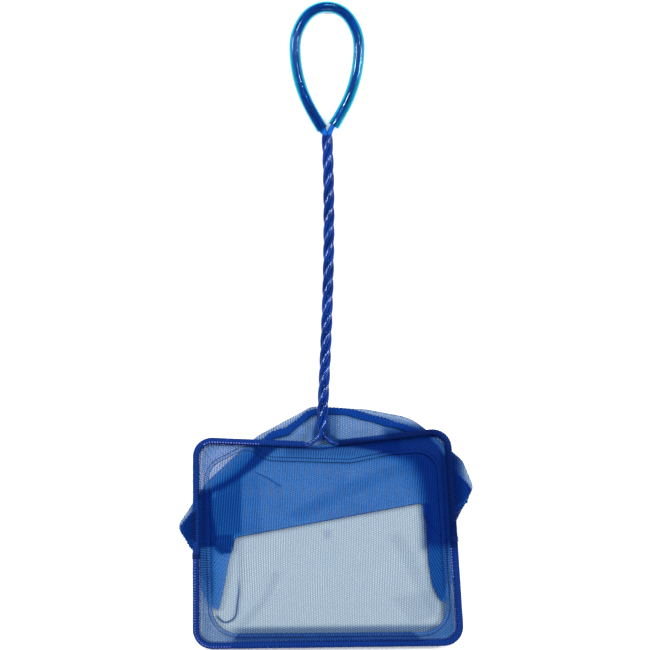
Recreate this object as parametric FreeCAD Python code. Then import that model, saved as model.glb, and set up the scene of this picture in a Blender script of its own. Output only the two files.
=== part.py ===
"""Aquarium hand net: a wire-framed net with a rope-laid handle and a sleeved hanging loop.

The net lies on its back: +X to the right across the mouth, +Y along the handle to the hanging
loop, +Z up, out of the mouth. The origin is at the middle of the footprint, on the table.
All sizes are in millimetres. While it is built, the top left corner of the frame is at X = Y = 0.
"""
import FreeCAD
import Part
import math
import os

Vector = FreeCAD.Vector

# ---------------------------------------------------------------- driving dimensions
# wire
core_diameter = 1.9            # steel wire
coating_diameter = 2.6         # over the vinyl
core_clearance = 0.02           # radial, vinyl over steel
strand_clearance = 0.2         # between neighbouring strands of the rope

# mouth frame, measured on the wire's centreline
mouth_width = 150.6             # along the bottom bar
mouth_height = 117.0            # along the left bar
right_bar_lean = 7.8            # the right bar leans in by this much at its top
top_right_rise = 5.5            # the top bar climbs by this much to the right
bottom_right_rise = 2.0         # and the bottom bar by this much
handle_offset = 71.4            # left bar to the middle of the handle's foot
junction_dip = 2.9              # the top bar dips by this much at the handle
frame_corner_radius = 9.2
junction_radius = 40.0

# handle
rope_length = 167.9             # laid part of the handle
lay_length = 38.5               # wanted length of one turn of the rope
rope_end_turn = 0.125           # part of a turn that lines the strands' tops up with the loop
rope_bow = 2.1                  # the rope bows to the right by this much
bow_skew = 0.35                 # and is fuller towards its top by this share
rope_lean = 3.0                 # and its top stands this much to the right of its foot
rope_foot_gap = 8.5             # rope's foot above the top bar
wire_spread = 7.0               # the wire joins the top bar this far from the handle's middle
spread_bend_radius = 4.5

# hanging loop, measured on the tube's centreline
tube_diameter = 6.6
tube_bore = 5.6
loop_half_width = 18.2
crown_radius = 15.5             # top bend
crown_angle = 50.0              # each side of the top, in degrees
leg_radius = 74.0               # the legs' gentle inward curve
leg_angle = 29.7                # how far the legs have turned in at their ends, in degrees
leg_straight = 11.7             # straight stretch at each leg's end
tube_end_stagger = 2.2          # the right end stops this much short of the left
rope_to_tube = 3.0              # rope's top to the tube's left end
wire_side_play = 0.56           # the wires lie this far inside the tube's centreline in the legs
pair_flat_at = 0.06             # the two wires lie side by side at this share of the loop
pair_flat_span = 0.08           # and for about this share to each side
crown_turn = 45.0               # and lean this far from upright at its crown
bore_clearance = 0.06           # between the two wires

# hem and netting
hem_diameter = 3.8
hem_clearance = 0.05            # radial, hem over the coated wire
hem_start = 9.6                 # the hem begins this far from the handle's middle
net_thickness = 0.4
collar_width = 10.4             # turned-in strip, from the wire's centreline
stitch_diameter = 0.3
tack_length = 3.2
tack_thickness = 0.45
tack_clearance = 0.2            # above the collar
fold_height = 2.4               # outer height of the upper panel's fold

# half height of the side bars, where the two panels meet
left_meeting_drop = 65.6        # below the top left corner
right_meeting_drop = 62.0       # below the top right corner

# corners of the bag's outline, as it lies beyond the frame
left_lobe_reach = 10.9          # corner of the left lobe beyond the left bar
left_lobe_drop = 49.3           # and below the top left corner
left_shoulder_inset = 6.0
left_shoulder_drop = 24.1
left_hump_inset = 34.4
left_hump_rise = 2.3
hump_rise = 22.0                # bag's edge above the top bar, beside the handle
hump_inset = 5.8                # this corner is left of the handle's middle
right_hump_inset = 46.3         # next corner, left of the top right corner
right_hump_rise = 12.1
right_shoulder_inset = 20.2
right_shoulder_rise = 7.2
right_lobe_start_reach = 8.8    # beyond the top right corner
right_lobe_start_drop = 17.1
right_lobe_reach = 15.1
right_lobe_drop = 32.4
right_lobe_foot = 54.5
lobe_radius = 5.6
foot_radius = 10.0
outline_radius = 30.0
least_radius = 0.2              # of any corner of an inner outline

# the slanting fold of the upper panel, and the pleats beside it
fold_left_inset = 26.6          # fold's left end from the left bar
fold_left_drop = 52.5           # and below the top left corner
fold_right_inset = 16.6         # fold's right end from the right bar
fold_right_drop = 39.3          # and below the top right corner
pleat_gap = 0.6                 # pleat to fold end, and pleat to hem
pleat_length = 95.0             # down from the top corners
pleat_shoulder = 3.5            # the pleat narrows by this much at the fold
left_pleat_foot = 13.0          # width left at the pleat's lower end
right_pleat_foot = 9.5
pleat_corner_radius = 1.0
seam_inset = 1.9                # bag's edge to the overlocked seam
seam_width = 3.4
seam_thickness = 0.7

# ---------------------------------------------------------------- values worked out from them
core_radius = core_diameter / 2
coating_radius = coating_diameter / 2
coating_bore_radius = core_radius + core_clearance
hem_radius = hem_diameter / 2
tube_radius = tube_diameter / 2

fold_top = net_thickness + fold_height          # top of the upper panel
collar_top = fold_top + net_thickness
frame_z = collar_top + hem_radius
loop_z = tube_radius

points_per_turn = 12            # corners along one turn of a strand
loop_points = 52                # and along a wire of the loop
volume_tolerance = 0.002        # a pipe's volume against its length times its section

top_left = Vector(0, 0, 0)
bottom_left = Vector(0, -mouth_height, 0)
bottom_right = Vector(mouth_width, bottom_right_rise - mouth_height, 0)
top_right = Vector(mouth_width - right_bar_lean, top_right_rise, 0)
junction = Vector(handle_offset, -junction_dip, 0)


# ---------------------------------------------------------------- helpers
def toward(start, end, distance):
    """The point that lies this far from start on the way to end."""
    return start + (end - start).normalize() * distance


def at_height(point, z):
    return Vector(point.x, point.y, z)


def right_bar(drop, inset=0.0):
    """A point beside the right bar: this far below its top corner, this far inside it."""
    along = (bottom_right - top_right).normalize()
    point = top_right + along * (drop / abs(along.y))
    return point - Vector(inset, 0, 0)


def rounded_edges(points, radii, closed=False):
    """Straight runs joined by tangent arcs; radii holds a radius for each point, 0 for a sharp one."""
    count = len(points)
    starts = []
    ends = []
    middles = []
    for i, corner in enumerate(points):
        if not closed and i in (0, count - 1):
            starts.append(corner)
            ends.append(corner)
            middles.append(None)
            continue
        back = (points[i - 1] - corner).normalize()
        ahead = (points[(i + 1) % count] - corner).normalize()
        half_turn = (math.pi - back.getAngle(ahead)) / 2
        if half_turn < 1e-4 or radii[i] == 0:
            starts.append(corner)
            ends.append(corner)
            middles.append(None)
            continue
        tangent = radii[i] * math.tan(half_turn)
        bisector = (back + ahead).normalize()
        centre = corner + bisector * (radii[i] / math.cos(half_turn))
        starts.append(corner + back * tangent)
        ends.append(corner + ahead * tangent)
        middles.append(centre - bisector * radii[i])
    edges = []
    for i in range(count):
        if middles[i] is not None:
            edges.append(Part.Arc(starts[i], middles[i], ends[i]).toShape())
        if i < count - 1 or closed:
            edges.append(Part.LineSegment(ends[i], starts[(i + 1) % count]).toShape())
    return edges


def rounded_wire(points, radii, closed=False):
    return Part.Wire(rounded_edges(points, radii, closed))


def bend_radii(points, share=0.45):
    """For each inner point, the largest radius that its two runs allow."""
    radii = [0.0]
    for before, corner, after in zip(points, points[1:], points[2:]):
        run = min((corner - before).Length, (after - corner).Length)
        turn = (corner - before).getAngle(after - corner)
        radii.append(share * run / math.tan(turn / 2) if turn > 1e-4 else 0.0)
    return radii + [0.0]


def pipe(wire, radius):
    """A round rod along a wire."""
    first = wire.Edges[0]
    start = first.valueAt(first.FirstParameter)
    direction = first.tangentAt(first.FirstParameter)
    if (start - wire.OrderedVertexes[0].Point).Length > 1e-6:
        start = first.valueAt(first.LastParameter)
        direction = first.tangentAt(first.LastParameter)
    circle = Part.Wire([Part.makeCircle(radius, start, direction)])
    rod = wire.makePipeShell([circle], True, False)
    expected = math.pi * radius ** 2 * wire.Length
    if abs(rod.Volume / expected - 1) > volume_tolerance:
        print("pipe volume", round(rod.Volume, 2), "against", round(expected, 2))
    return rod


def sleeve(wire, outer_radius, inner_radius):
    return pipe(wire, outer_radius).cut(pipe(wire, inner_radius))


def offset_outline(points, radii, distance, closed=True):
    """The same outline moved inwards by a distance; the points run anticlockwise."""
    count = len(points)
    moved = []
    new_radii = []
    for i, corner in enumerate(points):
        has_back = closed or i > 0
        has_ahead = closed or i < count - 1
        back = (corner - points[i - 1]).normalize() if has_back else None
        ahead = (points[(i + 1) % count] - corner).normalize() if has_ahead else None
        back = ahead if back is None else back
        ahead = back if ahead is None else ahead
        back_normal = Vector(-back.y, back.x, 0)
        ahead_normal = Vector(-ahead.y, ahead.x, 0)
        bisector = (back_normal + ahead_normal).normalize()
        moved.append(corner + bisector * (distance / bisector.dot(ahead_normal)))
        turn = back.x * ahead.y - back.y * ahead.x
        change = -distance if turn > 0 else distance
        new_radii.append(max(radii[i] + change, least_radius))
    return moved, new_radii


def plate(points, radii, bottom, top):
    """A flat plate with a rounded outline between two heights."""
    wire = rounded_wire([at_height(p, bottom) for p in points], radii, closed=True)
    return Part.Face(wire).extrude(Vector(0, 0, top - bottom))


def ring(points, radii, outer, inner, bottom, top):
    """A flat ring between two offsets of a closed outline."""
    return plate(*offset_outline(points, radii, outer), bottom, top).cut(
        plate(*offset_outline(points, radii, inner), bottom, top))


def band(points, radii, outer, inner, bottom, top):
    """A flat band between two offsets of an open outline."""
    near_points, near_radii = offset_outline(points, radii, outer, closed=False)
    far_points, far_radii = offset_outline(points, radii, inner, closed=False)
    near = rounded_edges([at_height(p, bottom) for p in near_points], near_radii)
    far = rounded_edges([at_height(p, bottom) for p in far_points], far_radii)
    first = Part.LineSegment(at_height(near_points[0], bottom), at_height(far_points[0], bottom))
    last = Part.LineSegment(at_height(near_points[-1], bottom), at_height(far_points[-1], bottom))
    wire = Part.Wire(Part.__sortEdges__(near + far + [first.toShape(), last.toShape()]))
    return Part.Face(wire).extrude(Vector(0, 0, top - bottom))


# ---------------------------------------------------------------- the rope-laid handle
# Neighbouring strands come closest on a slant, so the rope is a little fatter than four round
# rods in a square: the lay angle gives how much.
rope_turns = max(round(rope_length / lay_length - rope_end_turn), 1) + rope_end_turn
lay_rise = rope_length / (2 * math.pi * rope_turns)


def strand_centre_radius():
    """Distance of the strands from the rope's middle that leaves the stated clearance."""
    wanted = coating_diameter + strand_clearance
    radius = wanted / math.sqrt(2)
    slip = 0.0
    for _ in range(20):
        slip = radius ** 2 * math.cos(slip) / lay_rise ** 2
        nearest = math.sqrt(2 * radius ** 2 * (1 - math.sin(slip)) + (lay_rise * slip) ** 2)
        radius *= wanted / nearest
    return radius


strand_radius = strand_centre_radius()
rope_foot = Vector(handle_offset, junction.y + rope_foot_gap, frame_z)
rope_top = rope_foot + Vector(rope_lean, rope_length, loop_z - frame_z)
foot_angles = {"front": 90, "left": 180, "back": 270, "right": 0}


def strand_points(foot_angle):
    """One strand of the rope from its foot to its top, in a right-hand lay."""
    steps = round(rope_turns * points_per_turn)
    points = []
    for i in range(steps + 1):
        share = i / steps
        middle = rope_foot + (rope_top - rope_foot) * share
        middle.x += 4 * rope_bow * share * (1 - share) * (1 + bow_skew * (2 * share - 1))
        angle = math.radians(foot_angle) - 2 * math.pi * rope_turns * share
        offset = Vector(math.cos(angle), 0, math.sin(angle)) * strand_radius
        points.append(middle + offset)
    return points


strands = {name: strand_points(angle) for name, angle in foot_angles.items()}


# ---------------------------------------------------------------- the hanging loop
shoulder_angle = 90.0 - crown_angle
crown_half = crown_radius * math.sin(math.radians(crown_angle))
shoulder_radius = (loop_half_width - crown_half) / (1 - math.sin(math.radians(crown_angle)))


def loop_pieces():
    """Length and radius of each stretch of the loop, from the left end to the right end."""
    leg = (math.radians(leg_angle) * leg_radius, leg_radius)
    shoulder = (math.radians(shoulder_angle) * shoulder_radius, shoulder_radius)
    crown = (math.radians(2 * crown_angle) * crown_radius, crown_radius)
    last = (leg_straight - tube_end_stagger, None)
    return [(leg_straight, None), leg, shoulder, crown, shoulder, leg, last]


def loop_left_end():
    """Where the tube's left end stands, beside and above the rope's top."""
    turned = math.radians(leg_angle)
    inward = leg_radius * (1 - math.cos(turned)) + leg_straight * math.sin(turned)
    return rope_top + Vector(inward - loop_half_width, rope_to_tube, 0)


def loop_at(distance):
    """Point and heading of the tube's centreline, this far from its left end."""
    point = loop_left_end()
    heading = math.radians(90 + leg_angle)
    for length, radius in loop_pieces():
        step = min(distance, length)
        if radius is None:
            point = point + Vector(math.cos(heading), math.sin(heading), 0) * step
        else:
            right = Vector(math.sin(heading), -math.cos(heading), 0)
            centre = point + right * radius
            heading -= step / radius
            right = Vector(math.sin(heading), -math.cos(heading), 0)
            point = centre - right * radius
        distance -= step
        if distance <= 0:
            break
    return point, heading


loop_length = sum(length for length, radius in loop_pieces())


def loop_centreline():
    edges = []
    start = 0.0
    for length, radius in loop_pieces():
        first = loop_at(start)[0]
        last = loop_at(start + length)[0]
        if radius is None:
            edges.append(Part.LineSegment(first, last).toShape())
        else:
            middle = loop_at(start + length / 2)[0]
            edges.append(Part.Arc(first, middle, last).toShape())
        start += length
    return Part.Wire(edges)


def loop_wire_points(left_strand, right_strand, side):
    """One of the two wires over the loop, from a strand of the rope to another.

    The pair stands one over the other, lies side by side for a stretch of the left leg and
    leans over at the crown.
    """
    spacing = (coating_diameter + bore_clearance) / 2
    left = strands[left_strand]
    right = strands[right_strand]
    left_run = (left[-1] - left[-2]).normalize()
    right_run = (right[-1] - right[-2]).normalize()
    points = [left[-1], left[-1] + left_run * coating_radius]
    for i in range(loop_points + 1):
        share = i / loop_points
        middle, heading = loop_at(loop_length * share)
        inward = Vector(math.sin(heading), -math.cos(heading), 0)
        crown_share = math.sin(math.pi * share) ** 2
        flat_share = math.exp(-(((share - pair_flat_at) / pair_flat_span) ** 2))
        pair_angle = math.radians(90 * (1 - flat_share) + crown_turn * crown_share ** 2)
        play = wire_side_play * (1 - crown_share) * (1 - flat_share) ** 2
        across = inward * math.cos(pair_angle) * side + Vector(0, 0, 1) * math.sin(pair_angle) * side
        points.append(middle + inward * play + across * spacing)
    return points + [right[-1] + right_run * coating_radius, right[-1]]


# ---------------------------------------------------------------- the frame wire
def frame_wire_points():
    """From the front strand's foot, round the mouth anticlockwise, to the back strand's foot."""
    front = strands["front"]
    back = strands["back"]
    front_run = (front[0] - front[1]).normalize()
    back_run = (back[0] - back[1]).normalize()
    left_join = at_height(toward(junction, top_left, wire_spread), frame_z)
    right_join = at_height(toward(junction, top_right, wire_spread), frame_z)
    corners = [at_height(p, frame_z) for p in (top_left, bottom_left, bottom_right, top_right)]
    points = [front[0], front[0] + front_run * wire_spread / 2, left_join]
    points += corners
    points += [right_join, back[0] + back_run * wire_spread / 2, back[0]]
    radii = [0, spread_bend_radius, spread_bend_radius]
    radii += [frame_corner_radius] * 4
    radii += [spread_bend_radius, spread_bend_radius, 0]
    return points, radii


# ---------------------------------------------------------------- the outlines
left_meeting = Vector(0, -left_meeting_drop, 0)
right_meeting = right_bar(right_meeting_drop)

mouth_points = [top_left, bottom_left, bottom_right, top_right, junction]
mouth_radii = [frame_corner_radius] * 4 + [junction_radius]

fold_left = Vector(fold_left_inset, -fold_left_drop, 0)
fold_right = right_bar(fold_right_drop, fold_right_inset)


def bag_outline():
    """Outline of the bag as it lies, anticlockwise from the bottom left corner."""
    corners = [
        (bottom_left, frame_corner_radius),
        (bottom_right, frame_corner_radius),
        (right_bar(right_lobe_foot), foot_radius),
        (top_right + Vector(right_lobe_reach, -right_lobe_drop, 0), lobe_radius),
        (top_right + Vector(right_lobe_start_reach, -right_lobe_start_drop, 0), foot_radius),
        (top_right + Vector(-right_shoulder_inset, right_shoulder_rise, 0), outline_radius),
        (top_right + Vector(-right_hump_inset, right_hump_rise, 0), outline_radius),
        (junction + Vector(-hump_inset, hump_rise, 0), lobe_radius),
        (top_left + Vector(left_hump_inset, left_hump_rise, 0), outline_radius),
        (top_left + Vector(left_shoulder_inset, -left_shoulder_drop, 0), outline_radius),
        (top_left + Vector(-left_lobe_reach, -left_lobe_drop, 0), lobe_radius),
        (left_meeting, foot_radius),
    ]
    return [corner for corner, radius in corners], [radius for corner, radius in corners]


outline_points, outline_radii = bag_outline()


def above_fold(bottom, top):
    """A block that holds all of the bag on the handle's side of the fold and of the side seams."""
    far = mouth_width
    left = left_meeting - Vector(far, 0, 0)
    right = right_meeting + Vector(far, 0, 0)
    up = Vector(0, 2 * far, 0)
    corners = [left, left_meeting, fold_left, fold_right, right_meeting, right, right + up, left + up]
    return plate(corners, [0] * len(corners), bottom, top)


# ---------------------------------------------------------------- the pieces
def wire_pair(name, points, radii):
    path = rounded_wire(points, radii)
    return {
        name + "_core": pipe(path, core_radius),
        name + "_coating": sleeve(path, coating_radius, coating_bore_radius),
    }


def make_wires():
    pieces = wire_pair("frame_wire", *frame_wire_points())
    for name, points in strands.items():
        pieces.update(wire_pair("strand_" + name, points, bend_radii(points)))
    for name, left, right, side in (
            ("loop_wire_upper", "left", "front", 1), ("loop_wire_lower", "back", "right", -1)):
        points = loop_wire_points(left, right, side)
        pieces.update(wire_pair(name, points, bend_radii(points)))
    return pieces


def make_hems():
    bore = coating_radius + hem_clearance
    routes = {
        "hem_upper_left": [toward(junction, top_left, hem_start), top_left, left_meeting],
        "hem_lower": [left_meeting, bottom_left, bottom_right, right_meeting],
        "hem_upper_right": [right_meeting, top_right, toward(junction, top_right, hem_start)],
    }
    hems = {}
    for name, route in routes.items():
        points = [at_height(p, frame_z) for p in route]
        radii = [frame_corner_radius] * len(points)
        hems[name] = sleeve(rounded_wire(points, radii), hem_radius, bore)
    return hems


def make_tacks():
    """Thread wraps where the two hems meet; they end just above the collar below them."""
    lowest = collar_top + tack_clearance
    wraps = []
    for point, bar_end in ((left_meeting, top_left), (right_meeting, top_right)):
        direction = (bar_end - point).normalize()
        start = at_height(point, frame_z) - direction * tack_length / 2
        outer = Part.makeCylinder(hem_radius + tack_thickness, tack_length, start, direction)
        inner = Part.makeCylinder(hem_radius, tack_length, start, direction)
        side = 4 * hem_diameter
        below = Part.makeBox(side, side, side, Vector(point.x - side / 2, point.y - side / 2,
                                                      lowest - side))
        wraps.append(outer.cut(inner).cut(below))
    return Part.makeCompound(wraps)


def make_collar():
    stitch_line = hem_radius + stitch_diameter
    seam_line = collar_width - stitch_diameter
    bottom = collar_top
    top = collar_top + stitch_diameter
    return {
        "collar_band": ring(mouth_points, mouth_radii, 0, collar_width, fold_top, collar_top),
        "hem_stitching": ring(mouth_points, mouth_radii, stitch_line,
                              stitch_line + stitch_diameter, bottom, top),
        "collar_stitching": ring(mouth_points, mouth_radii, seam_line - stitch_diameter,
                                 seam_line, bottom, top),
    }


def make_lower_panel():
    """The flat panel behind the mouth, with its edge turned up to the lower hem."""
    floor_sheet = plate(outline_points, outline_radii, 0, net_thickness)
    edge_points = [left_meeting, bottom_left, bottom_right, right_meeting]
    edge_radii = [frame_corner_radius] * 4
    rim = band(edge_points, edge_radii, 0, net_thickness, net_thickness, fold_top)
    return floor_sheet.fuse(rim)


def make_upper_panel():
    """Down from the top bar, round the slanting fold, and back under itself to the bag's edge."""
    lower_top = 2 * net_thickness
    upper_bottom = fold_top - net_thickness
    front_corners = [top_left, left_meeting, fold_left, fold_right, right_meeting, top_right, junction]
    front_radii = [frame_corner_radius, 0, 0, 0, 0, frame_corner_radius, junction_radius]
    front = plate(front_corners, front_radii, upper_bottom, fold_top)
    back = plate(outline_points, outline_radii, net_thickness, lower_top).common(
        above_fold(net_thickness, lower_top))
    along = fold_right - fold_left
    axis_start = at_height(fold_left, net_thickness + fold_height / 2)
    outer = Part.makeCylinder(fold_height / 2, along.Length, axis_start, along)
    inner = Part.makeCylinder(fold_height / 2 - net_thickness, along.Length, axis_start, along)
    fold = outer.cut(inner).cut(above_fold(0, fold_top + net_thickness))
    return front.fuse(back).fuse(fold)


def make_edge_seam():
    bottom = 2 * net_thickness
    top = bottom + seam_thickness
    whole = ring(outline_points, outline_radii, seam_inset, seam_inset + seam_width, bottom, top)
    return whole.common(above_fold(bottom, top))


def make_pleats(upper_panel, edge_seam):
    """Folded stacks of spare netting between the two layers of the upper panel."""
    bottom = net_thickness
    top = fold_top - net_thickness
    hem_side = hem_radius + pleat_gap
    left_width = fold_left_inset - pleat_gap
    right_width = fold_right_inset - pleat_gap
    left = [
        Vector(hem_side, 0, 0),
        Vector(hem_side, -pleat_length, 0),
        Vector(hem_side + left_pleat_foot, -pleat_length, 0),
        Vector(left_width - pleat_shoulder, -fold_left_drop - pleat_shoulder, 0),
        Vector(left_width, -fold_left_drop + pleat_shoulder, 0),
        Vector(left_width, 0, 0),
    ]
    right = [
        right_bar(0, hem_side),
        right_bar(0, right_width),
        right_bar(fold_right_drop, right_width),
        right_bar(fold_right_drop + pleat_length / 3, right_width - pleat_shoulder / 2),
        right_bar(pleat_length, right_pleat_foot + hem_side),
        right_bar(pleat_length, hem_side),
    ]
    within = plate(*offset_outline(outline_points, outline_radii, pleat_gap), bottom, top)
    pleats = {}
    for name, corners in (("side_pleat_left", left), ("side_pleat_right", right)):
        stack = plate(corners, [pleat_corner_radius] * len(corners), bottom, top).common(within)
        pleats[name] = stack.cut(upper_panel).cut(edge_seam)
    return pleats


def make_net():
    pieces = make_wires()
    pieces["grip_tube"] = sleeve(loop_centreline(), tube_radius, tube_bore / 2)
    pieces.update(make_hems())
    pieces["side_tacks"] = make_tacks()
    pieces.update(make_collar())
    pieces["lower_panel"] = make_lower_panel()
    pieces["upper_panel"] = make_upper_panel()
    pieces["bag_edge_seam"] = make_edge_seam()
    pieces.update(make_pleats(pieces["upper_panel"], pieces["bag_edge_seam"]))
    return pieces


net = make_net()
footprint = Part.makeCompound(list(net.values())).optimalBoundingBox(False)
to_origin = Vector(-footprint.Center.x, -footprint.Center.y, -footprint.ZMin)

os.makedirs("parts", exist_ok=True)
for name, shape in net.items():
    shape.translate(to_origin)
    shape.exportStep("parts/" + name + ".step")
    box = shape.optimalBoundingBox(False)
    print(name, len(shape.Solids), "solid(s)", round(shape.Volume, 1), "mm3, valid", shape.isValid(),
          [round(v, 2) for v in (box.XMin, box.YMin, box.ZMin, box.XMax, box.YMax, box.ZMax)])
print("rope turns", rope_turns, "strand radius", round(strand_radius, 3),
      "handle width", round(2 * (strand_radius + coating_radius), 2))
print("moved by", [round(v, 3) for v in to_origin])
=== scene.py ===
# %% [markdown]
# # An aquarium hand net
# The net lies on a table with its mouth up. A blue wire runs round the mouth, up the handle as a
# four-strand rope, and through a clear tube as a hanging loop. The bag is fine knitted netting,
# folded flat behind the mouth. The hard pieces come from the CAD model and only need finishes.
# The cloth pieces are made here, because a solid plate never looks like netting.

# %% Load the frame
import math

import bmesh
import bpy
import numpy as np
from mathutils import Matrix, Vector
from mathutils.geometry import delaunay_2d_cdt


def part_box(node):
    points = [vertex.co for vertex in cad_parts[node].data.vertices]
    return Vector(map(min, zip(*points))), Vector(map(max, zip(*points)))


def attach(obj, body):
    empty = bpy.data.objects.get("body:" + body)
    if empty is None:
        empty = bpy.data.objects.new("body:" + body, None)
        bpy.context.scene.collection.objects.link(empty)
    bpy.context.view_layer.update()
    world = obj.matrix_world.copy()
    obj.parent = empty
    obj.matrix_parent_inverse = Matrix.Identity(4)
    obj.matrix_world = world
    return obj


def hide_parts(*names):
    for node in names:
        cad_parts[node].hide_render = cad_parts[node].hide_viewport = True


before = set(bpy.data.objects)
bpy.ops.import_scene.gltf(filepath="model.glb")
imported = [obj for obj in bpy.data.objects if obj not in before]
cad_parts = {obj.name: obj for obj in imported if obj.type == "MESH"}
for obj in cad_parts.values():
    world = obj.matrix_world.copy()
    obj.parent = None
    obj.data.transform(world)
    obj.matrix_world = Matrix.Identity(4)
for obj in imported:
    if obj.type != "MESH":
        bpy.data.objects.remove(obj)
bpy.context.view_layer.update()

bpy.ops.object.select_all(action="DESELECT")
print("CAD nodes:", len(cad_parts))

# %% [markdown]
# ## Camera, table and light
# The net is seen from straight above. A long lens far away keeps the handle and the bag at the
# same scale, as an orthographic camera would, and still works from every other side.

# %% Camera
PICTURE_WIDTH = 0.36966
CAMERA_HEIGHT = 4.0
SENSOR = 36.0

bpy.ops.object.camera_add(location=(-0.0005, 0.0, CAMERA_HEIGHT), rotation=(0, 0, 0))
camera = bpy.context.object
camera.name = "camera"
camera.data.sensor_width = SENSOR
camera.data.lens = SENSOR * CAMERA_HEIGHT / PICTURE_WIDTH
camera.data.clip_start = 0.05
bpy.context.scene.camera = camera
bpy.context.scene.view_settings.view_transform = "Standard"
print("lens", round(camera.data.lens, 1), "mm")

# %% [markdown]
# The table is a plain white sheet, bright enough to burn out to white. Light comes from a pale
# sky all round and from soft boxes on both sides, so the wires get long soft highlights while
# their tops, which mirror the space above them, stay deep blue.

# %% Table
bpy.ops.mesh.primitive_circle_add(vertices=96, radius=6.0, fill_type="NGON", location=(0, 0, -0.0001))
table = bpy.context.object
table.name = "table"
table_finish = bpy.data.materials.new("table_white")
table_finish.use_nodes = True
shader = table_finish.node_tree.nodes["Principled BSDF"]
shader.inputs["Base Color"].default_value = (0.93, 0.93, 0.93, 1)
shader.inputs["Roughness"].default_value = 0.9
shader.inputs["Specular IOR Level"].default_value = 0.1
shader.inputs["Emission Color"].default_value = (0.45, 0.72, 1.0, 1)
shader.inputs["Emission Strength"].default_value = 0.12
table.data.materials.append(table_finish)

# %% Sky and soft boxes
SKY_STRENGTH = 0.3
sky = bpy.data.worlds.new("pale_sky")
sky.use_nodes = True
sky.node_tree.nodes["Background"].inputs["Color"].default_value = (1, 1, 1, 1)
sky.node_tree.nodes["Background"].inputs["Strength"].default_value = SKY_STRENGTH
bpy.context.scene.world = sky


def soft_box(name, place, size, power):
    """A square area light that looks at the net."""
    bpy.ops.object.light_add(type="AREA", location=place)
    light = bpy.context.object
    light.name = name
    light.data.size = size
    light.data.energy = power
    light.rotation_euler = (-Vector(place)).to_track_quat("-Z", "Y").to_euler()


soft_box("box_left", (-1.2, 0.3, 1.0), 0.3, 21.0)
soft_box("box_right", (1.2, 0.1, 1.0), 0.3, 19.0)
soft_box("box_back", (0.1, 1.2, 1.2), 0.4, 11.0)
soft_box("box_front", (0.0, -1.2, 1.3), 0.6, 7.0)
soft_box("lamp_left", (-0.5, 0.45, 1.3), 0.12, 5.0)
soft_box("lamp_right", (0.45, 0.3, 1.4), 0.12, 4.0)

# %% [markdown]
# ## Shader groups
# A group is built once and placed in several materials, each with its own values. Its sockets
# are made with `interface.new_socket`. The first group draws knitted net: columns of stitches
# with rows of small holes between them, each column's holes half a row from its neighbour's.


# %% A helper for node groups
def make_group(name, inputs, outputs):
    """An empty shader group with named sockets; inputs maps a name to (kind, value)."""
    group = bpy.data.node_groups.new(name, "ShaderNodeTree")
    for socket, (kind, value) in inputs.items():
        made = group.interface.new_socket(name=socket, in_out="INPUT", socket_type=kind)
        if value is not None:
            made.default_value = value
    for socket, kind in outputs.items():
        group.interface.new_socket(name=socket, in_out="OUTPUT", socket_type=kind)
    return group, group.nodes.new("NodeGroupInput"), group.nodes.new("NodeGroupOutput")


def maths(tree, operation, first, second=None, third=None):
    """A Math node; each value is a number or a socket."""
    node = tree.nodes.new("ShaderNodeMath")
    node.operation = operation
    for socket, value in zip(node.inputs, (first, second, third)):
        if isinstance(value, (int, float)):
            socket.default_value = value
        elif value is not None:
            tree.links.new(value, socket)
    return node.outputs[0]


def ramp_between(tree, value, low, high, low_out=0.0, high_out=1.0):
    """A smooth Map Range; low and high are numbers or sockets."""
    node = tree.nodes.new("ShaderNodeMapRange")
    node.interpolation_type = "SMOOTHSTEP"
    for socket, given in (("Value", value), ("From Min", low), ("From Max", high)):
        if isinstance(given, (int, float)):
            node.inputs[socket].default_value = given
        else:
            tree.links.new(given, node.inputs[socket])
    node.inputs["To Min"].default_value = low_out
    node.inputs["To Max"].default_value = high_out
    return node.outputs["Result"]


def noise_at(tree, vector, scale, detail=2.0):
    node = tree.nodes.new("ShaderNodeTexNoise")
    node.inputs["Scale"].default_value = scale
    node.inputs["Detail"].default_value = detail
    tree.links.new(vector, node.inputs["Vector"])
    return node.outputs["Fac"]


# %% The knitted net
knit_group, knit_in, knit_out = make_group(
    "knitted_net",
    {
        "Vector": ("NodeSocketVector", None),
        "Column Pitch": ("NodeSocketFloat", 0.0014),
        "Row Pitch": ("NodeSocketFloat", 0.00125),
        "Closeness": ("NodeSocketFloat", 0.5),
        "Unevenness": ("NodeSocketFloat", 0.0004),
    },
    {"Thread": "NodeSocketFloat", "Column": "NodeSocketFloat", "Height": "NodeSocketFloat"},
)
across = knit_group.nodes.new("ShaderNodeSeparateXYZ")
knit_group.links.new(knit_in.outputs["Vector"], across.inputs["Vector"])
wobble = noise_at(knit_group, knit_in.outputs["Vector"], 260.0)
wobble = maths(knit_group, "SUBTRACT", wobble, 0.5)
wobble = maths(knit_group, "MULTIPLY", wobble, knit_in.outputs["Unevenness"])
column = maths(knit_group, "ADD", across.outputs["X"], wobble)
column = maths(knit_group, "DIVIDE", column, knit_in.outputs["Column Pitch"])
row = maths(knit_group, "ADD", across.outputs["Y"], wobble)
row = maths(knit_group, "DIVIDE", row, knit_in.outputs["Row Pitch"])
side = maths(knit_group, "SINE", maths(knit_group, "MULTIPLY", column, math.pi))
beat = maths(knit_group, "COSINE", maths(knit_group, "MULTIPLY", row, 2 * math.pi))
between = maths(knit_group, "MULTIPLY", side, side)
hole = maths(
    knit_group,
    "ADD",
    maths(knit_group, "MULTIPLY", between, 0.65),
    maths(knit_group, "MULTIPLY", maths(knit_group, "MULTIPLY", side, beat), 0.35),
)
edge_low = maths(knit_group, "SUBTRACT", knit_in.outputs["Closeness"], 0.12)
edge_high = maths(knit_group, "ADD", knit_in.outputs["Closeness"], 0.12)
thread = maths(knit_group, "SUBTRACT", 1.0, ramp_between(knit_group, hole, edge_low, edge_high))
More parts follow.
